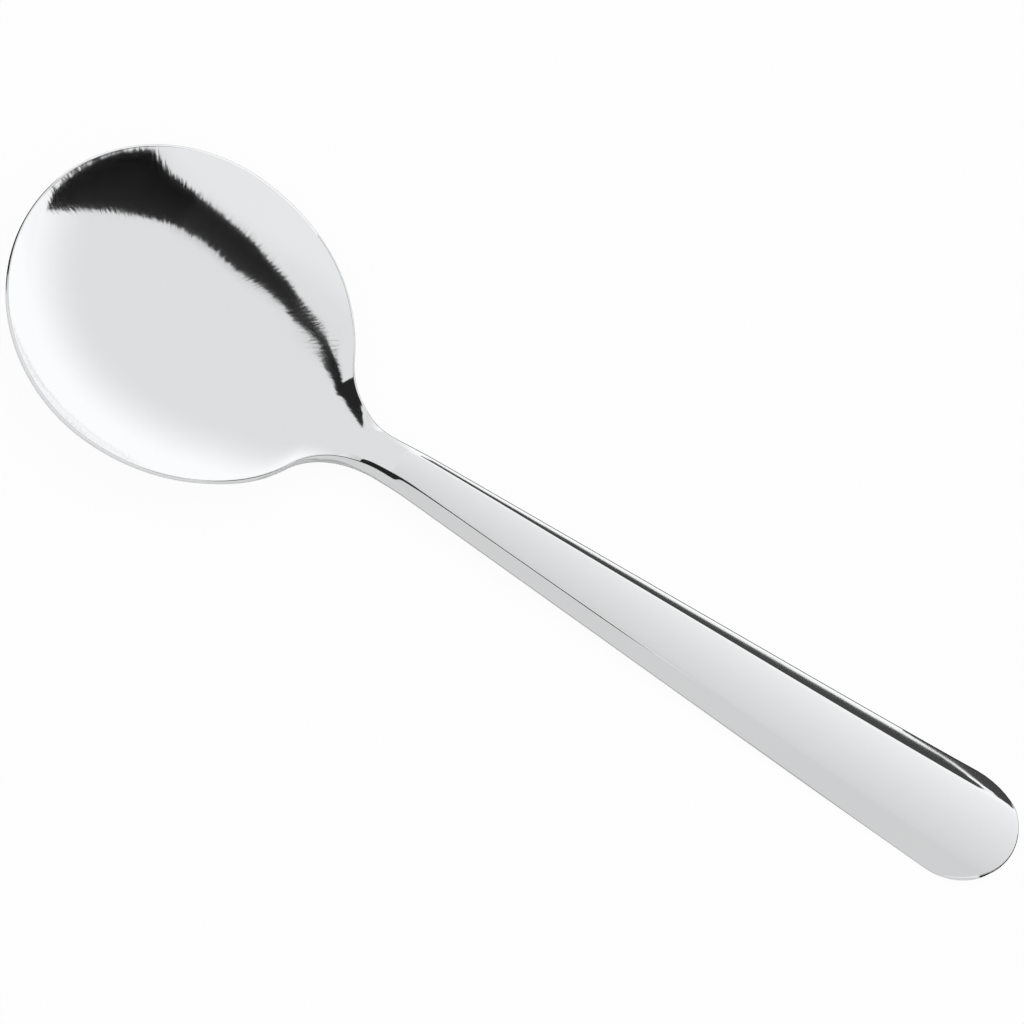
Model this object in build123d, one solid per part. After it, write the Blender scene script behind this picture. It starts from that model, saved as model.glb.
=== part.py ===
from build123d import *
import math
import os

# A soup spoon: one piece of polished stainless steel, in millimetres.
# It is shaped lying flat, with X from the bowl's tip to the handle's end and Z = 0 in the plane of the rim,
# and is then tipped to the way it rests on a table.

# Outline of the blank, seen from above
overall_length = 150.0
tip_to_widest = 22.2        # bowl's tip to the bowl's widest place
widest_to_heel = 24.85      # widest place to the back of the bowl's oval
bowl_width = 44.0
shoulder_radius = 10.8      # hollow curve that leads the bowl's edge into the neck
heel_to_neck = 5.0          # back of the oval to the middle of the neck
neck_width = 5.1
end_width = 15.7            # handle's greatest width, where its end rounds off
end_round_length = 8.1

# Hollow of the bowl
bowl_depth = 7.0            # rim to the deepest place inside
hollow_past_heel = 8.2      # how far past the oval the hollow fades out along the neck
wall_steepness = 0.1        # 0 is an even dish, more is a flatter floor with a steeper wall

# Thickness of the metal
bowl_thickness = 1.0
neck_thickness = 2.9
end_thickness = 2.0
heel_thickening = 16.0      # length ahead of the neck over which the bowl's wall grows to the neck's

# Upper face of the handle: slightly crowned, with a sloping border along each side
crown_height = 0.25         # gentle arch across the face at the handle's greatest width
border_start = 0.7          # where the border starts, as a share of the half width
border_slope = 0.55         # fall of the border for each unit outwards
border_blend = 0.03         # softness of the line between face and border, as a share of the half width
border_run_in = 5.0         # crown and border grow in two steps of this length
first_step_share = 0.5      # part of their height that they have after the first step
first_step_to_heel = 1.0    # start of the first step ahead of the back of the oval
heel_to_second_step = 8.0

# Set of the handle: the neck dips below the plane of the rim, the handle rises from it, and its end turns up
# to lie flat on the table
neck_dip = 1.3
dip_run_in = 13.0           # length ahead of the back of the oval over which the rim starts to dip
dip_past_heel = 3.0         # back of the oval to the lowest place of the dip
handle_rise = 4.0           # degrees
rise_length = 14.0          # length of the bend, which starts at the back of the oval
lie_length = 12.0           # length of the end that lies on the table
turn_length = 20.0          # length of the slight bend ahead of it

# Rounding of every edge, and the neck's length as far as the handle
edge_radius = 0.3
neck_length = 9.0           # middle of the neck to the start of the handle

widest_x = tip_to_widest
heel_x = widest_x + widest_to_heel
neck_x = heel_x + heel_to_neck
hollow_end_x = heel_x + hollow_past_heel
dip_start_x = heel_x - dip_run_in
dip_x = heel_x + dip_past_heel
handle_x = neck_x + neck_length
end_x = overall_length - end_round_length
lie_x = overall_length - lie_length
turn_x = lie_x - turn_length
bowl_half = bowl_width / 2
neck_half = neck_width / 2
end_half = end_width / 2

# The handle's straight sides leave the neck and touch the oval of its end.
neck_seen_round = Vector((neck_x - end_x) * end_half / end_round_length, neck_half)
touch_angle = math.atan2(neck_half, neck_seen_round.X) - math.acos(end_half / neck_seen_round.length)
side_end = Vector(end_x + end_round_length * math.cos(touch_angle), end_half * math.sin(touch_angle))
side_slope = (side_end.Y - neck_half) / (side_end.X - neck_x)
side_length_factor = math.hypot(1, side_slope)


def smooth_step(amount):
    """Ease from 0 to 1, leaving and arriving without a bend."""
    amount = min(max(amount, 0.0), 1.0)
    return amount**3 * (10 - 15 * amount + 6 * amount**2)


def side_line(x):
    """Half width of the tapered handle."""
    return neck_half + side_slope * (x - neck_x)


def shoulder_arc():
    """Centre of the shoulder curve, and the oval's angle where the curve leaves it."""
    low, high = 0.0, math.pi / 2
    for _ in range(60):
        angle = (low + high) / 2
        normal = Vector(math.cos(angle) / widest_to_heel, math.sin(angle) / bowl_half).normalized()
        on_oval = Vector(widest_x + widest_to_heel * math.cos(angle), bowl_half * math.sin(angle))
        centre = on_oval + normal * shoulder_radius
        if centre.Y - side_line(centre.X) < shoulder_radius * side_length_factor:
            low = angle
        else:
            high = angle
    return centre, angle


shoulder_centre, shoulder_angle = shoulder_arc()
shoulder_start = Vector(
    widest_x + widest_to_heel * math.cos(shoulder_angle), bowl_half * math.sin(shoulder_angle)
)
shoulder_end = shoulder_centre + Vector(side_slope, -1).normalized() * shoulder_radius


def half_width(x):
    """Half width of the outline behind the bowl's widest place."""
    if x < shoulder_start.X:
        return bowl_half * math.sqrt(1 - ((x - widest_x) / widest_to_heel) ** 2)
    if x < shoulder_end.X:
        return shoulder_centre.Y - math.sqrt(shoulder_radius**2 - (x - shoulder_centre.X) ** 2)
    return side_line(x)


def hollow(x, y):
    """Height of the pressed bowl: zero at the rim, below zero inside it."""
    if x <= widest_x:
        across = ((x - widest_x) / tip_to_widest) ** 2 + (y / bowl_half) ** 2
        depth = bowl_depth
    else:
        across = (y / half_width(x)) ** 2
        run = min((x - widest_x) / (hollow_end_x - widest_x), 1.0)
        depth = bowl_depth * (1 - run**2) ** 2
    return -depth * (1 - (1 - wall_steepness) * across - wall_steepness * across**2)


def crown(x, y):
    """Drop of the handle's upper face from its middle to its edges."""
    first_step = smooth_step((x - heel_x + first_step_to_heel) / border_run_in)
    if first_step == 0:
        return 0.0
    second_step = smooth_step((x - heel_x - heel_to_second_step) / border_run_in)
    grown = first_step_share * first_step + (1 - first_step_share) * second_step
    half = half_width(x)
    past_border = abs(y) / half - border_start
    border = (past_border + math.hypot(past_border, border_blend)) / 2 * border_slope
    arch = crown_height / end_half * (y / half) ** 2
    return -grown * half * (arch + border)


def past_bend(x, start, length):
    """Height gained past an even bend that ends at a slope of one."""
    past = max(x - start, 0.0)
    bent = min(past, length)
    return bent**2 / length / 2 + past - bent


def rise(x):
    """Height that the dip and the bend at the neck and the turn near the end give to the middle line."""
    down = smooth_step((x - dip_start_x) / (dip_x - dip_start_x))
    back_up = smooth_step((x - dip_x) / (handle_x - dip_x))
    neck_bend = math.tan(math.radians(handle_rise)) * past_bend(x, heel_x, rise_length)
    return neck_bend - neck_dip * (down - back_up) + end_turn * past_bend(x, turn_x, turn_length)


def thickness(x):
    """Thickness of the metal along the middle."""
    if x < neck_x:
        grown = smooth_step((x - neck_x + heel_thickening) / heel_thickening)
        return bowl_thickness + (neck_thickness - bowl_thickness) * grown
    return neck_thickness + (end_thickness - neck_thickness) * (x - neck_x) / (overall_length - neck_x)


def upper(x, y):
    """Height of the upper face."""
    return hollow(x, y) + crown(x, y) + rise(x)


def lower(x, y, step=0.05):
    """Height of the underside: the hollow moved out by the metal's thickness, square to its slope."""
    along = (hollow(x + step, y) - hollow(x - step, y)) / (2 * step)
    across = (hollow(x, y + step) - hollow(x, y - step)) / (2 * step)
    return hollow(x, y) + rise(x) - thickness(x) * math.sqrt(1 + along**2 + across**2)


def turn_to_lie(touch_x):
    """Slope that the end has to gain to lie on a table that touches the bowl at one place."""
    straight_slope = (lower(turn_x, 0) - lower(handle_x, 0)) / (turn_x - handle_x)
    gap = lower(turn_x, 0) - lower(touch_x, 0) - straight_slope * (turn_x - touch_x)
    return gap / (lie_x - touch_x - turn_length / 2)


# The end is straight at first, and is then turned up until the end and the bowl stand on one table.
end_turn = 0.0
end_turn = max(turn_to_lie(widest_x * share / 100) for share in range(50, 200))


def half_profile(x, spare=0.0):
    """Edges of one half of the cross-section: upper face, edge and underside, from the middle outwards."""
    reach = bowl_half if x <= widest_x else half_width(x)
    places = [reach * share for share in (0, 0.25, 0.45, 0.56, 0.64, 0.7, 0.76, 0.86, 1)]
    level = (0, 1, 0)
    edge_of_upper = (0, 1, (upper(x, reach) - upper(x, reach - 0.01)) / 0.01)
    edge_of_lower = (0, 1, (lower(x, reach) - lower(x, reach - 0.01)) / 0.01)
    top = Spline([(x, y, upper(x, y)) for y in places], tangents=(level, edge_of_upper))
    under = Spline([(x, y, lower(x, y) - spare) for y in places], tangents=(level, edge_of_lower))
    return [top, Line(top @ 1, under @ 1), under]


def cross_section(x, spare):
    """Whole cross-section at one place along the spoon, with spare metal below for trimming."""
    half = half_profile(x, spare)
    return make_face(half + [mirror(edge, Plane.XZ) for edge in half])


def length_of_spoon(start, end, profiles, spare=0.0):
    """Solid between two places, lofted through evenly spaced cross-sections."""
    places = [start + (end - start) * i / (profiles - 1) for i in range(profiles)]
    return loft([cross_section(x, spare) for x in places])


def tip_of_bowl():
    """Front of the bowl: half a turn of its widest profile, drawn out to the length of the tip."""
    half = [Pos(-widest_x, 0, 0) * edge for edge in half_profile(widest_x)]
    profile = make_face(half + [Line(half[0] @ 0, half[2] @ 0)])
    dish = revolve(profile, Axis.Z, 180)
    return Pos(widest_x, 0, 0) * scale(dish, by=(tip_to_widest / bowl_half, 1, 1))


def handle_room():
    """Upright prism that trims the handle to its rounded end."""
    height = 4 * (rise(overall_length) + neck_thickness)
    straight = Pos((handle_x + side_end.X) / 2, 0) * Rectangle(side_end.X - handle_x, 2 * end_width)
    rounded = Pos(end_x, 0) * Ellipse(end_round_length, end_half)
    beyond = Pos((side_end.X + overall_length) / 2, 0) * Rectangle(overall_length - side_end.X, end_width)
    return extrude(Pos(0, 0, -height / 2) * (straight + (rounded & beyond)), height)


def room_above_underside():
    """Space over the handle's underside, which is flat as far as the turn and flat again where it lies."""
    start, turn, lie, end = [Vector(x, 0, lower(x, 0)) for x in (handle_x, turn_x, lie_x, 2 * overall_length)]
    top = Vector(0, 0, 2 * overall_length)
    turn_corner = turn + (turn - start) * (turn_length / 2 / (turn_x - handle_x))
    underside = [Line(start, turn), Bezier(turn, turn_corner, lie), Line(lie, end)]
    side_view = make_face(underside + [Polyline(end, end + top, start + top, start)])
    return extrude(side_view, end_width, both=True)


def long_edges(piece, on_top, flat_places):
    """Edges of the upper face or of the underside, without those on the flat ends."""
    chosen = []
    for edge in piece.edges():
        box = edge.bounding_box()
        middle = edge @ 0.5
        on_flat = any(abs(box.min.X - x) + abs(box.max.X - x) < 0.01 for x in flat_places)
        on_axis = abs(box.min.Y) + abs(box.max.Y) < 0.01
        upright = box.size.Z > 0.9 * edge.length
        half_way = (upper(middle.X, middle.Y) + lower(middle.X, middle.Y)) / 2
        if not (on_flat or on_axis or upright) and (middle.Z > half_way) == on_top:
            chosen.append(edge)
    return chosen


def round_edges(piece, *flat_places):
    """Round the edges that a hand would meet, above and below."""
    for on_top in (True, False):
        piece = fillet(long_edges(piece, on_top, flat_places), edge_radius)
    return piece


bowl_front = round_edges(tip_of_bowl(), widest_x)
bowl_back = round_edges(length_of_spoon(widest_x, heel_x, 13), widest_x, heel_x)
neck = length_of_spoon(heel_x, handle_x, 9)
handle_blank = length_of_spoon(handle_x, overall_length + edge_radius, 12, spare=neck_thickness)
handle = handle_blank & handle_room() & room_above_underside()
pieces = {
    "bowl": bowl_front + bowl_back,
    "neck": round_edges(neck, heel_x, handle_x),
    "handle": round_edges(handle, handle_x, turn_x, lie_x),
}

# At rest the spoon stands on the table under its bowl and lies on it with the end of its handle.
rest_slope = (lower(overall_length, 0) - lower(lie_x, 0)) / lie_length
rest_tilt = math.degrees(math.atan(rest_slope))
resting = {name: Rot(0, rest_tilt, 0) * piece for name, piece in pieces.items()}
boxes = [piece.bounding_box() for piece in resting.values()]
middle_x = (min(box.min.X for box in boxes) + max(box.max.X for box in boxes)) / 2
to_origin = Pos(-middle_x, 0, -min(box.min.Z for box in boxes))
os.makedirs("parts", exist_ok=True)
for name, piece in resting.items():
    placed = to_origin * piece
    export_step(placed, f"parts/{name}.step")
    print(name, placed.is_valid, round(placed.volume, 1), placed.bounding_box())
print("rest tilt", round(rest_tilt, 4), "moved by", to_origin.position)
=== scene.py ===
# %% [markdown]
# # A polished soup spoon
# A soup spoon like this is cut from one strip of stainless steel. The strip is rolled thinner at the bowl,
# cut to its outline, pressed between two dies and polished all over until it mirrors the room.
# The frame holds the spoon as it was drawn in CAD, in metres, at rest on a table. A mirror shows every facet
# of a mesh, so this lesson makes the same shape again as one fine, smooth skin and gives it a steel finish.

# %% Load the frame
import math

import bpy
import numpy as np
from mathutils import Matrix, Vector


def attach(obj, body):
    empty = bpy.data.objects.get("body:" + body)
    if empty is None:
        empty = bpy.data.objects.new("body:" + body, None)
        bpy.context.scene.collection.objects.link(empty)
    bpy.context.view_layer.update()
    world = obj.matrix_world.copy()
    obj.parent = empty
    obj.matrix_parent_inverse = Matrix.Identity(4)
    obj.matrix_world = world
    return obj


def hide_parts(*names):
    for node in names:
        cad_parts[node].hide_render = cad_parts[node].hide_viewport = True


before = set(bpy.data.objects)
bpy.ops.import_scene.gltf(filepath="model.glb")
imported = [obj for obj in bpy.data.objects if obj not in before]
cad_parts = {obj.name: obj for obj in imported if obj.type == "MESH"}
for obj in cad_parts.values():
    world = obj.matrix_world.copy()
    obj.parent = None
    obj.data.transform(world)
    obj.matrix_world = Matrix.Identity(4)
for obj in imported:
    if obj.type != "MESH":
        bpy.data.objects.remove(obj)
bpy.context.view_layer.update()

# %% [markdown]
# ## The sizes
# These are the sizes that a die maker would need, in millimetres. They are the CAD part's own, apart from the
# places where the handle's borders begin and the border on the far side, which were set by their reflections.
# The spoon is shaped lying flat: X runs from the bowl's tip to the handle's end, and Z = 0 is the plane of
# the rim. Only at the end is it tipped to the way it rests and turned into metres.

# %% Sizes of the spoon, in millimetres
overall_length = 150.0
tip_to_widest = 22.2
widest_to_heel = 24.85
bowl_half = 22.0
shoulder_radius = 10.8
neck_half = 2.55
end_half = 7.85
end_round_length = 8.1
bowl_depth = 7.0
wall_steepness = 0.1
bowl_thickness = 1.0
neck_thickness = 2.9
end_thickness = 2.0
heel_thickening = 16.0
crown_height = 0.25
border_start = 0.7
border_slope = 0.55
far_border_start = 0.67
far_border_slope = 0.5
border_blend = 0.03
border_first_share = 0.5
border_first_x = 48.5
border_second_x = 54.0
border_run_in = 5.0
neck_dip = 1.3
handle_rise = math.radians(4.0)
rise_length = 14.0
lie_length = 12.0
turn_length = 20.0
edge_radius = 0.3
heel_to_neck = 5.0
neck_length = 9.0
hollow_past_heel = 8.2
dip_run_in = 13.0
dip_past_heel = 3.0
print("spoon", overall_length, "by", 2 * bowl_half, "mm, bowl", bowl_depth, "mm deep")

# %% Places along the spoon
widest_x = tip_to_widest
heel_x = widest_x + widest_to_heel
neck_x = heel_x + heel_to_neck
handle_x = neck_x + neck_length
hollow_end_x = heel_x + hollow_past_heel
dip_start_x = heel_x - dip_run_in
dip_x = heel_x + dip_past_heel
end_x = overall_length - end_round_length
lie_x = overall_length - lie_length
turn_x = lie_x - turn_length
print("neck at", neck_x, "and handle on the table from", lie_x)

# %% [markdown]
# ## The outline
# Seen from above, the edge is a round bowl, a hollow shoulder curve on each side, two straight sides that
# spread towards the end, and an oval end. Drawing it by eye would leave small corners, and a mirror finish
# would show them, so each curve starts exactly where the one before it stops and in the same direction. The
# place where the shoulder leaves the bowl is found by halving: try an angle, then keep the half that is left.

# %% Where the straight sides and the shoulder curves touch their neighbours
neck_seen_round = np.array(((neck_x - end_x) * end_half / end_round_length, neck_half))
touch_angle = math.atan2(neck_half, neck_seen_round[0]) - math.acos(end_half / np.hypot(*neck_seen_round))
side_end = np.array((end_x + end_round_length * math.cos(touch_angle), end_half * math.sin(touch_angle)))
side_slope = (side_end[1] - neck_half) / (side_end[0] - neck_x)


def side_line(x):
    """Half width of the tapered handle."""
    return neck_half + side_slope * (x - neck_x)


halvings = 60
low, high = 0.0, math.pi / 2
for _ in range(halvings):
    shoulder_angle = (low + high) / 2
    oval_point = np.array((widest_x + widest_to_heel * math.cos(shoulder_angle),
                           bowl_half * math.sin(shoulder_angle)))
    outward = np.array((math.cos(shoulder_angle) / widest_to_heel, math.sin(shoulder_angle) / bowl_half))
    shoulder_centre = oval_point + outward / np.hypot(*outward) * shoulder_radius
    clearance = shoulder_centre[1] - side_line(shoulder_centre[0])
    if clearance < shoulder_radius * math.hypot(1, side_slope):
        low = shoulder_angle
    else:
        high = shoulder_angle
shoulder_end = shoulder_centre + np.array((side_slope, -1)) / math.hypot(1, side_slope) * shoulder_radius
print("shoulder from", oval_point.round(2), "to", shoulder_end.round(2))

# %% [markdown]
# ### The edge as points
# The four curves are joined into one line of points on the +Y side, and the other side is its mirror image.
# Each point also gets the direction that leads out of the metal, for the rounded edge and for the cards.

# %% One side of the outline as a line of points


def one_side(steps=600):
    """Points of the outline from the tip to the handle's end on the +Y side, and their outward directions."""
    turn = np.linspace(math.pi, shoulder_angle, steps)
    reach = np.where(turn > math.pi / 2, tip_to_widest, widest_to_heel)
    bowl_edge = np.column_stack((widest_x + reach * np.cos(turn), bowl_half * np.sin(turn)))
    start = math.atan2(*(oval_point - shoulder_centre)[::-1]) % math.tau
    stop = math.atan2(*(shoulder_end - shoulder_centre)[::-1]) % math.tau
    turn = np.linspace(start, stop, steps)[1:]
    shoulder = shoulder_centre + shoulder_radius * np.column_stack((np.cos(turn), np.sin(turn)))
    side = shoulder_end + (side_end - shoulder_end) * np.linspace(0, 1, steps)[1:, None]
    turn = np.linspace(touch_angle, 0, steps)[1:]
    oval_end = np.column_stack((end_x + end_round_length * np.cos(turn), end_half * np.sin(turn)))
    points = np.concatenate((bowl_edge, shoulder, side, oval_end))
    along = np.gradient(points, axis=0)
    along /= np.linalg.norm(along, axis=1)[:, None]
    return points, np.column_stack((-along[:, 1], along[:, 0]))


edge_points, edge_outward = one_side()
print(len(edge_points), "points along one side of the outline")

# %% [markdown]
# ## The pressed shape
# The height of the metal is a sum of plain parts: the hollow of the bowl, the face of the handle with its
# sloping borders, and the bends that lift the handle and turn its end. Written as functions they can be asked
# for the height at any place, which is how the skin gets its points later.

# %% Heights of the hollow and of the handle's face


def smooth_step(amount):
    """Ease from 0 to 1, leaving and arriving without a bend."""
    amount = np.clip(amount, 0, 1)
    return amount**3 * (10 - 15 * amount + 6 * amount**2)


def half_width(x):
    """Half width of the outline behind the bowl's widest place."""
    oval = bowl_half * np.sqrt(np.clip(1 - ((x - widest_x) / widest_to_heel) ** 2, 1e-9, None))
    arc = shoulder_centre[1] - np.sqrt(np.clip(shoulder_radius**2 - (x - shoulder_centre[0]) ** 2, 0, None))
    return np.where(x < oval_point[0], oval, np.where(x < shoulder_end[0], arc, side_line(x)))


def dipped(x):
    """How far the rim has come down towards the neck, from 0 to 1."""
    return smooth_step((x - dip_start_x) / (dip_x - dip_start_x))


def hollow(x, y):
    """Height inside the bowl against its rim; the floor meets the rim where that dips at the neck."""
    in_front = ((x - widest_x) / tip_to_widest) ** 2 + (y / bowl_half) ** 2
    across = np.where(x <= widest_x, in_front, (y / half_width(x)) ** 2)
    run = np.clip((x - widest_x) / (hollow_end_x - widest_x), 0, 1)
    depth = (bowl_depth - neck_dip) * (1 - run**2) ** 2 + neck_dip * (1 - dipped(x))
    return -depth * (1 - (1 - wall_steepness) * across - wall_steepness * across**2)


def crown(x, y):
    """Drop of the handle's upper face from its middle to its edges."""
    half = half_width(np.maximum(x, border_first_x))
    start = np.where(y > 0, far_border_start, border_start)
    slope = np.where(y > 0, far_border_slope, border_slope)
    past_border = np.abs(y) / half - start
    border = (past_border + np.hypot(past_border, border_blend)) / 2 * slope
    arch = crown_height / end_half * (y / half) ** 2
    grown = border_first_share * smooth_step((x - border_first_x) / border_run_in)
    grown = grown + (1 - border_first_share) * smooth_step((x - border_second_x) / border_run_in)
    return -grown * half * (arch + border)


print("hollow", round(-float(hollow(widest_x, 0.0)), 2), "mm deep; handle's edge falls by",
      round(-float(crown(end_x, end_half)), 2), "mm")

# %% [markdown]
# ### Bends and thickness
# Rolling leaves the bowl thin and the neck thick. The underside keeps that thickness square to the slope of
# the metal, as in a real pressing, so the wall of the bowl is as thick as its floor.

# %% The bends, the thickness and the two faces


def past_bend(x, start, length):
    """Height gained past an even bend that ends at a slope of one."""
    past = np.maximum(x - start, 0)
    bent = np.minimum(past, length)
    return bent**2 / length / 2 + past - bent


def rise(x):
    """Height that the dip and the bend at the neck and the turn near the end give to the middle line."""
    back_up = smooth_step((x - dip_x) / (handle_x - dip_x))
    neck_bend = math.tan(handle_rise) * past_bend(x, heel_x, rise_length)
    return neck_bend - neck_dip * (dipped(x) - back_up) + end_turn * past_bend(x, turn_x, turn_length)


def thickness(x):
    """Thickness of the metal along the middle."""
    grown = smooth_step((x - neck_x + heel_thickening) / heel_thickening)
    in_bowl = bowl_thickness + (neck_thickness - bowl_thickness) * grown
    in_handle = neck_thickness + (end_thickness - neck_thickness) * (x - neck_x) / (overall_length - neck_x)
    return np.where(x < neck_x, in_bowl, in_handle)


def upper(x, y):
    """Height of the upper face."""
    return hollow(x, y) + crown(x, y) + rise(x)


def lower(x, y, step=0.05):
    """Height of the underside: the hollow moved out by the thickness, square to its slope."""
    along = (hollow(x + step, y) - hollow(x - step, y)) / (2 * step)
    across = (hollow(x, y + step) - hollow(x, y - step)) / (2 * step)
    return hollow(x, y) + rise(x) - thickness(x) * np.sqrt(1 + along**2 + across**2)


print("metal", float(thickness(widest_x)), "mm thick at the bowl and", float(thickness(neck_x)),
      "mm at the neck")

# %% [markdown]
# ## How the spoon lies
# On a table the spoon stands on the underside of its bowl and lies on the end of its handle. The end is
# turned up by just the small angle that lets both touch one flat table.

# %% The turn of the handle's end, and the tilt of the spoon at rest
end_turn = 0.0
under_bowl = widest_x * np.linspace(0.5, 2, 151)
straight_slope = math.tan(handle_rise) + (neck_thickness - end_thickness) / (overall_length - neck_x)
gap = lower(turn_x, 0.0) - lower(under_bowl, 0 * under_bowl) - straight_slope * (turn_x - under_bowl)
end_turn = float(np.max(gap / (lie_x - under_bowl - turn_length / 2)))
rest_tilt = math.atan(straight_slope + end_turn)
print("end turned by", round(math.degrees(math.atan(end_turn)), 2), "degrees; spoon tilted by",
      round(math.degrees(rest_tilt), 2))

# %% [markdown]
# ## The sheet
# A press starts from a flat blank, and so does this mesh: a grid whose rows run across the spoon. A grid that
# ended in a point at the tip would pinch the reflections there, so its two short sides are bent round the
# tip and round the handle's end instead, and every face stays close to a square.

# %% Rows and columns of the grid
columns = 52
bowl_step = 0.75
handle_step = 1.1
inset_points = edge_points - edge_outward * edge_radius
travelled = np.concatenate(((0,), np.cumsum(np.linalg.norm(np.diff(inset_points, axis=0), axis=1))))
tip_corner = int(np.argmax(np.arctan2(edge_outward[:, 1], -edge_outward[:, 0]) > math.pi / 4))
end_corner = len(edge_points) - int(np.argmax(edge_outward[::-1, 1] > edge_outward[::-1, 0]))


def at_travel(values, places):
    """Values along the outline at some lengths from the tip."""
    return np.column_stack([np.interp(places, travelled, part) for part in values.T])


step_here = np.where(inset_points[:, 0] < handle_x, bowl_step, handle_step)
counted = np.concatenate(((0,), np.cumsum(np.diff(travelled) / step_here[1:])))
rows = int(counted[end_corner] - counted[tip_corner])
side_counts = np.linspace(counted[tip_corner], counted[end_corner], rows + 1)
side_travel = np.interp(side_counts, counted, travelled)
tip_travel = travelled[tip_corner] * np.linspace(-1, 1, columns + 1)
end_travel = (travelled[-1] - travelled[end_corner]) * np.linspace(-1, 1, columns + 1)
print(rows, "rows and", columns, "columns")

# %% [markdown]
# ### The plan
# Each row starts as a straight line across the spoon. Towards the tip and towards the handle's end the rows
# take on more and more of the curve of that end.

# %% Where each corner of the grid goes, seen from above


def lay_out():
    """Plan of the sheet, rows by columns, inside the rounded edge."""
    side = at_travel(inset_points, side_travel)
    share = np.linspace(-1, 1, columns + 1)
    mirror = np.column_stack((np.ones(columns + 1), np.sign(share)))
    tip = at_travel(inset_points, np.abs(tip_travel)) * mirror
    end = at_travel(inset_points, travelled[-1] - np.abs(end_travel)) * mirror
    near_tip = 1 - smooth_step((side[:, :1] - side[0, 0]) / (widest_x - side[0, 0]))
    near_end_shadow = smooth_step((side[:, :1] - lie_x) / (side[-1, 0] - lie_x))
    x = side[:, :1] + near_tip * (tip[:, 0] - side[0, 0]) + near_end_shadow * (end[:, 0] - side[-1, 0])
    even = (1 - near_tip - near_end_shadow) * share
    y = side[:, 1:] * (even + near_tip * tip[:, 1] / side[0, 1] + near_end_shadow * end[:, 1] / side[-1, 1])
    return x, y


plan_x, plan_y = lay_out()
print("sheet from", plan_x.min().round(2), "to", plan_x.max().round(2), "mm")

# %% [markdown]
# ### The grid
# Blender's own grid is added flat, one unit wide. Its points remember their row and column, because extruding
# and copying change their order.

# %% Add the grid and note each corner's row and column
bpy.ops.object.select_all(action="DESELECT")
bpy.ops.mesh.primitive_grid_add(x_subdivisions=rows, y_subdivisions=columns, size=1, location=(0, 0, 0))
spoon = bpy.context.object
spoon.name = "spoon"
mesh = spoon.data


def read_points():
    """The mesh's points as an array."""
    flat = np.empty(len(mesh.vertices) * 3)
    mesh.vertices.foreach_get("co", flat)
    return flat.reshape(-1, 3)


def write_points(points):
    """Move the mesh's points."""
    mesh.vertices.foreach_set("co", np.ascontiguousarray(points).ravel())
    mesh.update()


flat_sheet = read_points()
row = np.rint((flat_sheet[:, 0] + 0.5) * rows).astype(int)
column = np.rint((flat_sheet[:, 1] + 0.5) * columns).astype(int)
for name, numbers in (("row", row), ("column", column)):
    mesh.attributes.new(name, "INT", "POINT").data.foreach_set("value", numbers)
print(len(flat_sheet), "points in the flat sheet")

# %% [markdown]
# ## Two skins and a rounded edge
# The sheet is copied for the underside. Around the upper sheet the edge is extruded ring by ring, as one
# would by hand with E, and each ring is then set on the rounded profile of the edge. The last ring lies on
# the rim of the lower sheet, and merging the doubled points closes the skin.

# %% Copy the sheet for the underside
bpy.ops.object.mode_set(mode="EDIT")
bpy.ops.mesh.select_all(action="SELECT")
bpy.ops.mesh.duplicate()
bpy.ops.mesh.flip_normals()
bpy.ops.mesh.select_all(action="DESELECT")
bpy.ops.object.mode_set(mode="OBJECT")
sheet_points = len(flat_sheet)
print(len(mesh.vertices), "points in two sheets")

# %% Extrude the edge of the upper sheet
top_rings, side_rings = 7, 2
ring_count = 2 * top_rings + side_rings
ring_drop = 0.01


def on_border(first, second):
    """Whether the edge between two points lies on the border of the upper sheet."""
    if max(first, second) >= sheet_points:
        return False
    along_row = row[first] == row[second] and row[first] in (0, rows)
    along_column = column[first] == column[second] and column[first] in (0, columns)
    return bool(along_row or along_column)


for edge in mesh.edges:
    edge.select = on_border(*edge.vertices)
bpy.ops.object.mode_set(mode="EDIT")
bpy.ops.mesh.select_mode(type="EDGE")
for _ in range(ring_count):
    bpy.ops.mesh.extrude_edges_move(TRANSFORM_OT_translate={"value": (0, 0, -ring_drop)})
bpy.ops.object.mode_set(mode="OBJECT")
ring_points = (len(mesh.vertices) - 2 * sheet_points) // ring_count
print(ring_count, "rings of", ring_points, "points round the edge")

# %% [markdown]
# ### The rounded profile
# The mop rounds every edge by a fraction of a millimetre. The rings are crowded towards the start of the
# rounding, because there the steel turns away from the broad face and a mirror shows each step.

# %% The profile of the edge
ring_crowding = 1.7
most_rounding = 0.45


def edge_place(rows_here, columns_here):
    """Outline point and outward direction for points on the sheet's border."""
    length = np.where(rows_here == 0, np.abs(tip_travel[columns_here]), side_travel[rows_here])
    length = np.where(rows_here == rows, travelled[-1] - np.abs(end_travel[columns_here]), length)
    sign = np.sign(columns_here - columns / 2)
    mirror = np.column_stack((np.ones(len(sign)), sign))
    return at_travel(edge_points, length) * mirror, at_travel(edge_outward, length) * mirror


def rounded(start, corner, stop, amount):
    """Point on a round curve that leaves and arrives along the lines to the corner."""
    weight = math.sqrt(0.5)
    parts = ((1 - amount) ** 2, 2 * weight * amount * (1 - amount), amount**2)
    return (parts[0] * start + parts[1] * corner + parts[2] * stop) / sum(parts)


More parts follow.
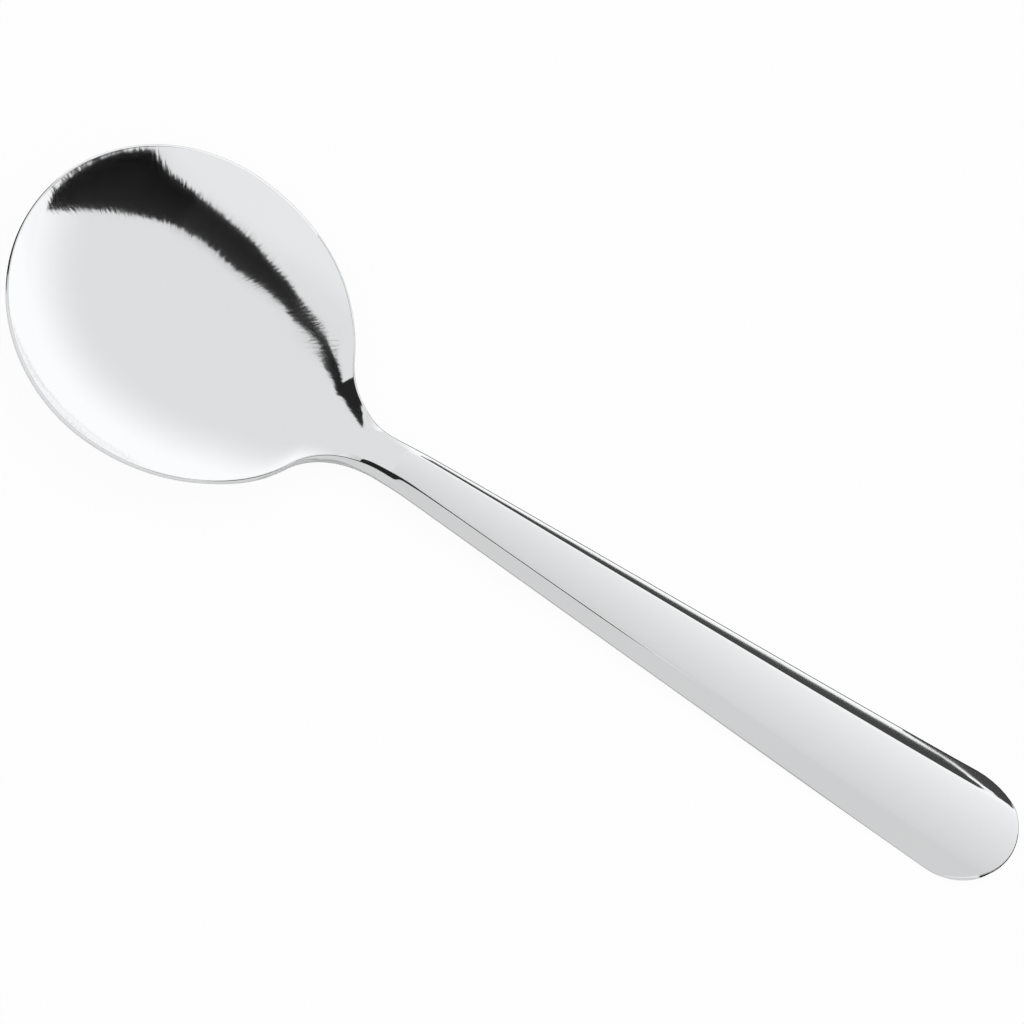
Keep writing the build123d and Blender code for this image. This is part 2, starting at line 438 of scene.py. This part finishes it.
def edge_ring(number, outline, outward):
    """Places of one ring of the edge, counted from the upper face down."""
    inner = outline - outward * edge_radius
    top, bottom = upper(*outline.T), lower(*outline.T)
    round_height = np.minimum(edge_radius, most_rounding * (top - bottom))
    if number <= top_rings:
        amount = (number / top_rings) ** ring_crowding
        plan = rounded(inner, outline, outline, amount)
        return np.column_stack((plan, rounded(upper(*inner.T), top, top - round_height, amount)))
    if number > top_rings + side_rings:
        amount = ((ring_count - number) / top_rings) ** ring_crowding
        plan = rounded(inner, outline, outline, amount)
        return np.column_stack((plan, rounded(lower(*inner.T), bottom, bottom + round_height, amount)))
    share = (number - top_rings) / (side_rings + 1)
    return np.column_stack((outline, top - round_height + share * (bottom - top + 2 * round_height)))


print("edge rounded by", edge_radius, "mm in", top_rings, "steps above and below")

# %% [markdown]
# ### Press it
# Now every point goes to its height: the upper sheet to the upper face, its copy to the underside, and the
# rings to the profile of the edge.

# %% Press the two sheets and set the rings
row_of, column_of = (np.empty(len(mesh.vertices), int) for _ in range(2))
mesh.attributes["row"].data.foreach_get("value", row_of)
mesh.attributes["column"].data.foreach_get("value", column_of)
pressed = np.zeros((len(mesh.vertices), 3))
pressed[:, 0] = plan_x[row_of, column_of]
pressed[:, 1] = plan_y[row_of, column_of]
pressed[:sheet_points, 2] = upper(*pressed[:sheet_points, :2].T)
lower_sheet = slice(sheet_points, 2 * sheet_points)
pressed[lower_sheet, 2] = lower(*pressed[lower_sheet, :2].T)
for number in range(1, ring_count + 1):
    first = 2 * sheet_points + (number - 1) * ring_points
    ring = slice(first, first + ring_points)
    pressed[ring] = edge_ring(number, *edge_place(row_of[ring], column_of[ring]))
print("pressed height", pressed[:, 2].min().round(2), "to", pressed[:, 2].max().round(2), "mm")

# %% [markdown]
# ### Lay it down
# The pressed spoon is tipped by its rest angle and moved so that it stands on the table with its middle at
# the origin. Only then are the doubled points merged, because their distance is now in metres.

# %% Tip the spoon to its rest, in metres, and close the skin
millimetre = 0.001
merge_distance = 2e-6
to_rest = np.array(((math.cos(rest_tilt), 0, math.sin(rest_tilt)), (0, 1, 0),
                    (-math.sin(rest_tilt), 0, math.cos(rest_tilt))))
resting = pressed @ to_rest.T
moved_by = np.array((-(resting[:, 0].min() + resting[:, 0].max()) / 2, 0, -resting[:, 2].min()))


def at_rest(points):
    """Where points of the flat spoon are when it lies on the table, in millimetres."""
    return np.asarray(points) @ to_rest.T + moved_by


write_points(at_rest(pressed) * millimetre)
bpy.ops.object.mode_set(mode="EDIT")
bpy.ops.mesh.select_all(action="SELECT")
bpy.ops.mesh.remove_doubles(threshold=merge_distance)
bpy.ops.mesh.select_all(action="DESELECT")
bpy.ops.mesh.select_non_manifold()
bpy.ops.object.mode_set(mode="OBJECT")
open_points = sum(point.select for point in mesh.vertices)
for name in ("row", "column"):
    mesh.attributes.remove(mesh.attributes[name])
bpy.ops.object.shade_smooth()
print(len(mesh.polygons), "faces,", open_points, "points on open edges, moved by", moved_by.round(4))

# %% [markdown]
# ## Nodes from Python
# Shader maths is easier to read as sums than as boxes and wires. One small class wraps a socket so that the
# usual operators add Math nodes, and one method makes any other node from its type, settings and inputs.
# The reflected forms let a plain number stand on the left of the sign.

# %% A socket that can be reckoned with


class Socket:
    """An output of a node that takes part in Python arithmetic."""

    def __init__(self, tree, socket=None):
        self.tree = tree
        self.socket = socket

    def node(self, kind, settings=None, inputs=None, output=0):
        """Add a node: first its settings, then the values or links of its inputs."""
        node = self.tree.nodes.new(kind)
        for name, value in (settings or {}).items():
            setattr(node, name, value)
        for name, value in (inputs or {}).items():
            if isinstance(value, Socket):
                self.tree.links.new(value.socket, node.inputs[name])
            else:
                node.inputs[name].default_value = value
        return Socket(self.tree, node.outputs[output]) if len(node.outputs) else node

    def sibling(self, output):
        """Another output of the same node."""
        return Socket(self.tree, self.socket.node.outputs[output])

    def math(self, operation, first, second=0.0):
        """One Math node."""
        return self.node("ShaderNodeMath", {"operation": operation}, {0: first, 1: second})

    def eased(self, start, stop):
        """Ease from 0 to 1 while this value goes from start to stop."""
        return self.node("ShaderNodeMapRange", {"interpolation_type": "SMOOTHSTEP"},
                         {"Value": self, "From Min": start, "From Max": stop})

    def __add__(self, other):
        return self.math("ADD", self, other)

    def __radd__(self, other):
        return self.math("ADD", other, self)

    def __sub__(self, other):
        return self.math("SUBTRACT", self, other)

    def __rsub__(self, other):
        return self.math("SUBTRACT", other, self)

    def __mul__(self, other):
        return self.math("MULTIPLY", self, other)

    def __rmul__(self, other):
        return self.math("MULTIPLY", other, self)

    def __truediv__(self, other):
        return self.math("DIVIDE", self, other)

    def __rtruediv__(self, other):
        return self.math("DIVIDE", other, self)


def new_tree(owner):
    """An empty node tree for a material or a world."""
    owner.use_nodes = True
    owner.node_tree.nodes.clear()
    return Socket(owner.node_tree)


print("reflected forms:", ", ".join(name for name in vars(Socket) if name.startswith("__r")))

# %% [markdown]
# ## The steel
# Polished stainless steel is a grey mirror, a little cooler than neutral. It is never perfect: the mop leaves
# fine strokes, across the bowl from its middle outwards and along the handle, and use leaves faint haze.
# The strokes are noise stretched one way, so that they look drawn instead of dotted.

# %% Where a point of the steel is, seen from the bowl's middle
steel = bpy.data.materials.new("polished_steel")
graph = new_tree(steel)
place = graph.node("ShaderNodeTexCoord", output=3)
place_x = graph.node("ShaderNodeSeparateXYZ", inputs={0: place})
place_y = place_x.sibling(1)
bowl_middle = float(at_rest((widest_x, 0, -bowl_depth))[0]) * millimetre
handle_start = float(at_rest((neck_x, 0, 0))[0]) * millimetre
never_zero = 1e-5
from_middle = place_x - bowl_middle
radius = graph.math("SQRT", from_middle * from_middle + place_y * place_y) + never_zero
print("strokes fan out from x =", round(bowl_middle, 4), "and run along from x =", round(handle_start, 4))

# %% Strokes of the polishing mop, and a faint haze
strokes_round, strokes_out = 60.0, 700.0
strokes_along, strokes_across = 120.0, 3000.0
stroke_detail = 3.0
haze_scale, haze_detail = 45.0, 4.0
handle_from, handle_to = -0.008, 0.004


def noise(vector, scale, detail):
    """Cloudy noise between 0 and 1."""
    return graph.node("ShaderNodeTexNoise", inputs={"Vector": vector, "Scale": scale, "Detail": detail})


bowl_vector = graph.node("ShaderNodeCombineXYZ", inputs={0: from_middle / radius * strokes_round,
                                                         1: place_y / radius * strokes_round,
                                                         2: radius * strokes_out})
handle_vector = graph.node("ShaderNodeCombineXYZ", inputs={0: place_x * strokes_along,
                                                           1: place_y * strokes_across, 2: 0.0})
bowl_strokes = noise(bowl_vector, 1.0, stroke_detail)
handle_strokes = noise(handle_vector, 1.0, stroke_detail)
on_handle = place_x.eased(handle_start + handle_from, handle_start + handle_to)
strokes = bowl_strokes * (1 - on_handle) + handle_strokes * on_handle
haze = noise(place, haze_scale, haze_detail)
print("the handle's strokes take over between", handle_from, "and", handle_to, "m from the neck")

# %% [markdown]
# ### Frayed reflections
# In the bowl the strokes lean the mirror a little outwards or inwards, and that frays the long edges of the
# dark reflection. The lean fades out towards the neck, where the real edges are clean. A very low bump adds
# the last fine grain, and the handle gets almost none of it.

# %% Lean the normal with the strokes
fray = 0.028
fray_fades = (0.018, 0.008)
handle_calm = 0.98
bump_strength = 0.3
bump_height = 0.00002
outwards = graph.node("ShaderNodeCombineXYZ", inputs={0: from_middle / radius, 1: place_y / radius, 2: 0.0})
lean = graph.node("ShaderNodeVectorMath", {"operation": "SCALE"},
                  {0: outwards, "Scale": (bowl_strokes - 0.5) * fray * from_middle.eased(*fray_fades)})
smooth_normal = graph.node("ShaderNodeNewGeometry", output=1)
leaning = graph.node("ShaderNodeVectorMath", {"operation": "ADD"}, {0: smooth_normal, 1: lean})
frayed = graph.node("ShaderNodeVectorMath", {"operation": "NORMALIZE"}, {0: leaning})
low_strokes = strokes * (1 - handle_calm * on_handle)
bump = graph.node("ShaderNodeBump", inputs={"Strength": bump_strength, "Distance": bump_height,
                                            "Height": low_strokes, "Normal": frayed})
print("reflections fray by", fray)

# %% [markdown]
# ### The shader
# A metal needs only a colour, a roughness and a normal. The haze dulls the colour a little, and strokes and
# haze together vary the roughness, so that no reflection is quite even. The finished piece then stands for
# the three CAD pieces, which are lengths of the same steel.

# %% The steel's shader, and what the piece stands for
steel_grey = (0.915, 0.92, 0.93)
haze_dulling = 0.98
hazed_grey = [haze_dulling * part for part in steel_grey]
plain_roughness, stroke_roughness, haze_roughness = 0.035, 0.03, 0.025
roughness = plain_roughness + stroke_roughness * strokes + haze_roughness * haze
tint = graph.node("ShaderNodeMix", {"data_type": "RGBA"},
                  {0: haze, 6: (*hazed_grey, 1), 7: (*steel_grey, 1)}, output=2)
shader = graph.node("ShaderNodeBsdfPrincipled",
                    inputs={"Base Color": tint, "Metallic": 1.0, "Roughness": roughness, "Normal": bump})
graph.node("ShaderNodeOutputMaterial", inputs={"Surface": shader})
mesh.materials.append(steel)
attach(spoon, "root")
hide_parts("bowl", "neck", "handle")
print("steel on", spoon.name)

# %% [markdown]
# ## The table and the tent
# A mirror is only as good as the room it shows. The spoon lies on a white table inside a white light tent,
# whose walls are bright near the table and a little greyer overhead. To the camera the table is almost plain
# white, and only a trace of the spoon's soft shadow is left on it.

# %% The white table
floor_size = 4.0
floor_gap = 0.00002
floor_white = 0.93
plain_share = 0.94
bpy.ops.mesh.primitive_plane_add(size=floor_size, location=(0, 0, -floor_gap))
floor = bpy.context.object
floor.name = "table"
table_white = bpy.data.materials.new("table_white")
graph = new_tree(table_white)
matt = graph.node("ShaderNodeBsdfDiffuse", inputs={"Color": (floor_white, floor_white, floor_white, 1)})
plain = graph.node("ShaderNodeEmission", inputs={"Color": (1, 1, 1, 1), "Strength": 1.0})
shown = graph.node("ShaderNodeLightPath") * plain_share
surface = graph.node("ShaderNodeMixShader", inputs={0: shown, 1: matt, 2: plain})
graph.node("ShaderNodeOutputMaterial", inputs={"Surface": surface})
floor.data.materials.append(table_white)
print("table", floor_size, "m wide")

# %% [markdown]
# ### The tent
# The world colour stands for the tent. Its level depends on the direction: the back wall is brightest low
# down, which makes the white glow along the near side of the bowl.

# %% The tent's levels
tent_top = 0.8
wall_extra, wall_heights, wall_turn = 0.27, (0.64, 0.15), (-0.4, 0.1)
front_extra, front_turn = 0.07, (-0.3, -0.5)
tent = bpy.context.scene.world or bpy.data.worlds.new("tent")
bpy.context.scene.world = tent
graph = new_tree(tent)
direction = graph.node("ShaderNodeSeparateXYZ", inputs={0: graph.node("ShaderNodeTexCoord")})
toward_back, upward = direction.sibling(1), direction.sibling(2)
low_wall = upward.eased(*wall_heights) * toward_back.eased(*wall_turn)
level = tent_top + wall_extra * low_wall + front_extra * toward_back.eased(*front_turn)
seen = graph.node("ShaderNodeLightPath")
strength = level * (1 - seen) + seen
background = graph.node("ShaderNodeBackground", inputs={"Color": (1, 1, 1, 1), "Strength": strength})
graph.node("ShaderNodeOutputWorld", inputs={"Surface": background})
print("tent", tent_top, "overhead and", round(tent_top + wall_extra, 2), "low at the back")

# %% [markdown]
# ## The cards
# A bright tent alone would leave the spoon flat and without edges. Photographers set dark and white cards
# round a shiny thing to draw its form, and most dark or light shapes on this spoon are mirror images of one.
# The camera doesn't see the cards and they cast no shadow. A card is a sheet between lines of points, and
# each line has a grey of its own.

# %% Make a card from lines of points
card_paper = bpy.data.materials.new("card_paper")
graph = new_tree(card_paper)
painted = graph.node("ShaderNodeAttribute", {"attribute_name": "grey"})
plain = graph.node("ShaderNodeEmission", inputs={"Color": painted, "Strength": 1.0})
graph.node("ShaderNodeOutputMaterial", inputs={"Surface": plain})


def card(name, *lines):
    """Faces between neighbouring lines of points, in millimetres, that only reflections show."""
    count = len(lines[0][1])
    points = [Vector(point) * millimetre for grey, line in lines for point in line]
    starts = [i for i in range(count * (len(lines) - 1)) if (i + 1) % count]
    card_mesh = bpy.data.meshes.new(name)
    card_mesh.from_pydata(points, [], [(i, i + 1, i + count + 1, i + count) for i in starts])
    greys = [grey for grey, line in lines for _ in line]
    card_mesh.attributes.new("grey", "FLOAT", "POINT").data.foreach_set("value", greys)
    card_mesh.materials.append(card_paper)
    made = bpy.data.objects.new(name, card_mesh)
    bpy.context.collection.objects.link(made)
    made.visible_camera = False
    made.visible_shadow = False
    made.visible_diffuse = False


def level_line(places, height):
    """Points at one height."""
    return [(x, y, height) for x, y in places]


print("cards are painted by their", painted.socket.node.attribute_name)

# %% [markdown]
# ### The camera's opening
# The tent is open where the camera looks in. In the bowl this opening is the long black sweep, so its two
# edges are drawn as lines of points high above the bowl. Soft strips along both edges stand for the hem of
# the cloth.

# %% The opening above the bowl
band_greys = (0.026, 0.01)
opening_height = 250.0
opening_back = (
    (60, -30), (42, -34), (14, -36.5), (-14, -36), (-50, -28), (-85, -26), (-104, -21),
    (-113.5, -10), (-119, -9), (-120, -3), (-120.5, 7), (-121, 18), (-123.5, 28), (-200, 40),
)
opening_front = (
    (60, -99), (38, -97), (12, -94), (-14, -91), (-53, -82), (-92, -63), (-110, -55),
    (-120, -47), (-124.5, -38), (-125, -25), (-128.5, -19), (-133, -10), (-142, -1), (-240, 0),
)
card("camera_opening", (band_greys[0], level_line(opening_back, opening_height)),
     (band_greys[1], level_line(opening_front, opening_height)))
print("opening with", len(opening_back), "points on each side")

# %% Soft strips along the opening
soft_width = 14
soft_points = 7
soft_strips = (("soft_back", opening_back, soft_width, (0.66, 0.8)),
               ("soft_front", opening_front, -soft_width, (0.7, 0.86)))
for name, edge, aside, greys in soft_strips:
    inner = edge[:soft_points]
    outer = [(x, y + aside) for x, y in inner]
    card(name, (greys[0], level_line(inner, opening_height)), (greys[1], level_line(outer, opening_height)))
print("soft strips", soft_width, "mm wide")

# %% [markdown]
# ### Towards the neck
# The sweep runs on along the far side of the bowl and ends as a small wedge at the shoulder. The first part
# mirrors the dark room beyond the handle, given by angles because it is far away. The wedge mirrors a small
# card close above the shoulder, where the metal is bent two ways.

# %% The small card over the shoulder
near_black = 0.016
shoulder_height = 25.0
shoulder_back = ((-42, 6.8), (-41, 6.3), (-39.4, 5.6), (-35.2, 4.5), (-32, 4.8), (-29.4, 5.8), (-27.2, 7.5))
shoulder_front = ((-45, 1), (-43, 0), (-40.6, -0.5), (-36, -1), (-32.5, 0), (-29.5, 2), (-27, 4.5))
card("over_shoulder", (near_black, level_line(shoulder_back, shoulder_height)),
     (near_black, level_line(shoulder_front, shoulder_height)))
print("shoulder card", shoulder_height, "mm above the table")

# %% The dark room beyond the handle
room_greys = (0.02, 0.003)
room_distance = 1500.0
inside_height = 6
bowl_place = Vector((bowl_middle / millimetre, 0, inside_height))


def away(east, north):
    """Point of the far room, by angles from straight up towards the handle's end and towards the back."""
    from_top = math.radians(math.hypot(east, north))
    turn = math.atan2(north, east)
    reach = math.sin(from_top)
    direction = Vector((reach * math.cos(turn), reach * math.sin(turn), math.cos(from_top)))
    return bowl_place + room_distance * direction


room_back = (
    (22, -10.2), (24.5, -9.3), (34.3, -4.6), (41, 0), (48.2, 5.6), (54, 12), (59, 18.6), (62.8, 24),
    (65.7, 28.3),
)
room_front = (
    (22, -23.8), (24.5, -23.7), (29.4, -23.4), (38.8, -22.5), (49.5, -23.6), (58.7, -13.4), (64.4, -2.5),
    (67.6, 9.4), (68.4, 22),
)
card("dark_room", (room_greys[0], [away(*place) for place in room_back]),
     (room_greys[1], [away(*place) for place in room_front]))
print("dark room", room_distance, "mm away")

# %% [markdown]
# ### Over the handle
# The handle's flat face mirrors a card above it that is shaded from grey to white, and so the face fades from
# one side to the other. A front card leaves a slit beside it, which is the fine dark line along the near
# border, and a small black card draws the short stroke at the neck.

# %% The shaded card, the front card and the small one over the neck
over_height = 25.0
near_grey, middle_grey, far_grey = 0.677, 0.79, 0.94
over_x = (-24, 90)
over_lines = ((-1, near_grey), (2, near_grey), (10, middle_grey), (19, far_grey), (22, 1.0), (45, 1.04))
card("over_handle", *[(grey, [(x, y, over_height) for x in over_x]) for y, grey in over_lines])
slit = ((-30, -14), (10, -13), (20, -10), (28, -4), (34, -1), (90, -1))
front_reach = -70
card("front_card", (near_grey, level_line(slit, over_height)),
     (near_grey, [(x, front_reach, over_height) for x, y in slit]),
     (near_grey, [(x, front_reach, 0) for x, y in slit]))
blot_height = 24.8
blot_back = ((-30, 0), (-16, -1), (-8, -3), (0, -5))
blot_front = ((-30, -16), (-16, -14), (-8, -10), (0, -7))
card("over_neck", (near_black, level_line(blot_back, blot_height)),
     (near_black, level_line(blot_front, blot_height)))
print("cards", over_height, "mm above the table")

# %% [markdown]
# ### Behind the handle
# The sloping border on the far side looks low over the table towards the back. A dark strip stands there, and
# its lower edge sinks towards the handle's end, where the reflection broadens. White paper on the table
# behind it keeps the line below the strip bright.

# %% The dark strips and the white paper behind the handle
strip_grey = 0.06
strip_back = 30.0
strip_edges = (
    (-18.4, 10, 14), (-14.7, 8.14, 15), (-9.9, 7.87, 16), (-3.7, 7.58, 18), (6.7, 6.89, 24),
    (17.1, 6.31, 25), (27.4, 5.77, 25), (37.8, 5.14, 25), (48, 4.57, 25), (58, 4.25, 25),
    (64, 4.22, 25), (66.1, 4.48, 25), (68.2, 5.1, 25), (70.5, 8, 25), (72.3, 17.2, 25),
)
card("dark_strip", (strip_grey, [(x, strip_back, under) for x, under, over in strip_edges]),
     (strip_grey, [(x, strip_back, over) for x, under, over in strip_edges]))
paper_white = 1.04
paper_height = 0.1
paper_x, paper_y = (-30, 130), (40, 400)
card("white_strip", *[(paper_white, [(x, y, paper_height) for x in paper_x]) for y in paper_y])
low_edge = (
    (58, 3.4), (61.9, 3.75), (63.9, 3.87), (66, 4.05), (68.1, 4.44), (70.3, 5.26), (72.6, 7.92),
    (74.4, 17.1), (80, 25),
)
card("low_strip", (strip_grey, [(x, strip_back, 0) for x, over in low_edge]),
     (strip_grey, [(x, strip_back, over) for x, over in low_edge]))
print("dark strips", strip_back, "mm behind the middle")

# %% [markdown]
# ### On the table
# White metal on a white table has no outline. Cards of painted shade lie on the table beside the spoon and
# give it
# one: they stand for the spoon's own shadow next to its edge, because the rounded edge mirrors what lies next
# to it: black along the far side, and a thin grey line along the near side.

# %% Cards of painted shadow on the table beside the edge
on_table = 0.05
# Greys of painted shade: the spoon's own shadow beside its edge, which the rounded edge mirrors as its
# outline.
outline_black, near_shadow_grey, rim_shadow_grey = 0.012, 0.4, 0.02


def beside_edge(side, first_x, last_x, distance, height=on_table, count=24):
    """Points along one side of the spoon, at a distance from its edge and a height above the table."""
    rest_x = edge_points[:, 0] * math.cos(rest_tilt) + moved_by[0]
    at = np.interp(np.linspace(first_x, last_x, count), rest_x, np.arange(len(rest_x))).astype(int)
    plan = edge_points[at] + distance * edge_outward[at]
    return [(x * math.cos(rest_tilt) + moved_by[0], side * y, height) for x, y in plan]


far_limits, far_distances = (-40, 73), (0.3, 26)
# Painted shadow along the far side of the handle, mirrored as a black outline.
card("far_shadow_outline", *[(outline_black, beside_edge(1, *far_limits, distance)) for distance in far_distances])
rim_limits, rim_distances = (-73, -40), (0.5, 22)
# Painted shadow beside the far rim of the bowl.
card("rim_shadow_outline", *[(rim_shadow_grey, beside_edge(1, *rim_limits, distance)) for distance in rim_distances])
# Painted shadow along the near side: a thin grey line, then the near grey of the front card.
near_limits = (-36, 72)
near_lines = ((near_shadow_grey, 0), (near_shadow_grey, 0.25), (near_grey, 0.5), (near_grey, 60))
card("near_shadow_outline", *[(grey, beside_edge(-1, *near_limits, distance)) for grey, distance in near_lines])
print("outline cards from x =", round(beside_edge(1, *far_limits, 0)[0][0], 1))

# %% [markdown]
# ### The two ends
# The handle's rounded end turns through half a circle, so its card of painted shadow, which stands for the
# spoon's shadow beside the end, is bent round it and lifted at its outer side. A last dark card stands in
# front of the bowl's tip and draws the thin line of the rim there.

# %% Painted shadow at the handle's end, and a card at the tip
end_x_limit = 75
end_profile = ((0.05, on_table), (16, on_table), (18, 8))
# Painted shadow round both sides of the handle's end, which lies on the table.
for name, side, first_x in (("far_end_shadow", 1, 73), ("near_end_shadow", -1, 72.7)):
    card(name, *[(outline_black, beside_edge(side, first_x, end_x_limit, *place)) for place in end_profile])
tip_y = (-10, 18)
tip_profile = ((-77, on_table), (-88, on_table), (-90, 40))
card("tip_card", *[(outline_black, [(x, y, z) for y in tip_y]) for x, z in tip_profile])
print("end cards reach", end_profile[-1][0], "mm out")

# %% [markdown]
# ### Over the far rim
# The near wall of the bowl is steep enough to see the far wall, and that shows the greyer top of the tent. A
# narrow white card just above the far rim hides it, so the near side of the bowl stays white to its edge.

# %% The white card over the far rim
rim_white = 1.15
rim_lift = 1.0
rim_inside, rim_outside = 0.9, -0.05
rim_turn = np.radians(np.linspace(66, 150, 31))


def over_rim(inside):
    """Points above the far rim of the bowl, some way inside its edge."""
    reach = np.where(rim_turn > math.pi / 2, tip_to_widest, widest_to_heel) - inside
    x = widest_x + reach * np.cos(rim_turn)
    y = (bowl_half - inside) * np.sin(rim_turn)
    return at_rest(np.column_stack((x, y, np.full(len(rim_turn), rim_lift))))


card("over_far_rim", (rim_white, over_rim(rim_inside)), (rim_white, over_rim(rim_outside)))
print("rim card", rim_lift, "mm above the rim")

# %% [markdown]
# ## The lamp
# One large soft lamp above the table adds to the tent's light. It is hidden from reflections, because its
# square would show in the steel.

# %% A soft lamp
lamp_place = (0.2, 0.5, 1.4)
lamp_size = 1.2
lamp_energy = 2.0
bpy.ops.object.light_add(type="AREA", location=lamp_place)
lamp = bpy.context.object
lamp.name = "soft_lamp"
lamp.data.size = lamp_size
lamp.data.energy = lamp_energy
lamp.visible_glossy = False
lamp.rotation_euler = (-lamp.location).to_track_quat("-Z", "Y").to_euler()
print("lamp of", lamp_energy, "W,", lamp_size, "m wide")

# %% [markdown]
# ## The camera
# The camera looks down on the spoon from the front left with a long lens, turned so that the handle runs to
# the lower right corner. Three angles give its axes, and the scale of the picture gives its lens.

# %% Where the camera looks from
camera_around = math.radians(-17.745)
camera_up = math.radians(63.193)
camera_roll = math.radians(50.412)
toward = np.array((math.cos(camera_up) * math.sin(camera_around),
                   -math.cos(camera_up) * math.cos(camera_around), math.sin(camera_up)))
level_right = np.array((math.cos(camera_around), math.sin(camera_around), 0))
level_up = np.cross(toward, level_right)
right = level_right * math.cos(camera_roll) + level_up * math.sin(camera_roll)
up = level_up * math.cos(camera_roll) - level_right * math.sin(camera_roll)
print("camera stands towards", toward.round(3))

# %% The camera
camera_distance = 650.0
pixels_per_mm = 7.818
picture_size = 1024
sensor = 36.0
aim_from_middle = (6.13, 29.07)
middle = np.array((overall_length / 2, 0, 0))
middle = middle - right * aim_from_middle[0] / pixels_per_mm + up * aim_from_middle[1] / pixels_per_mm
eye = at_rest(middle + toward * camera_distance) * millimetre
camera_data = bpy.data.cameras.new("camera")
camera_data.sensor_width = sensor
camera_data.lens = pixels_per_mm * camera_distance / picture_size * sensor
camera = bpy.data.objects.new("camera", camera_data)
bpy.context.collection.objects.link(camera)
axes = np.column_stack([axis @ to_rest.T for axis in (right, up, toward)])
camera.matrix_world = Matrix.Translation(eye) @ Matrix(axes.tolist()).to_4x4()
bpy.context.scene.camera = camera
bpy.context.scene.view_settings.view_transform = "Standard"
print("camera at", eye.round(3), "lens", round(camera_data.lens, 1), "mm")

# %% [markdown]
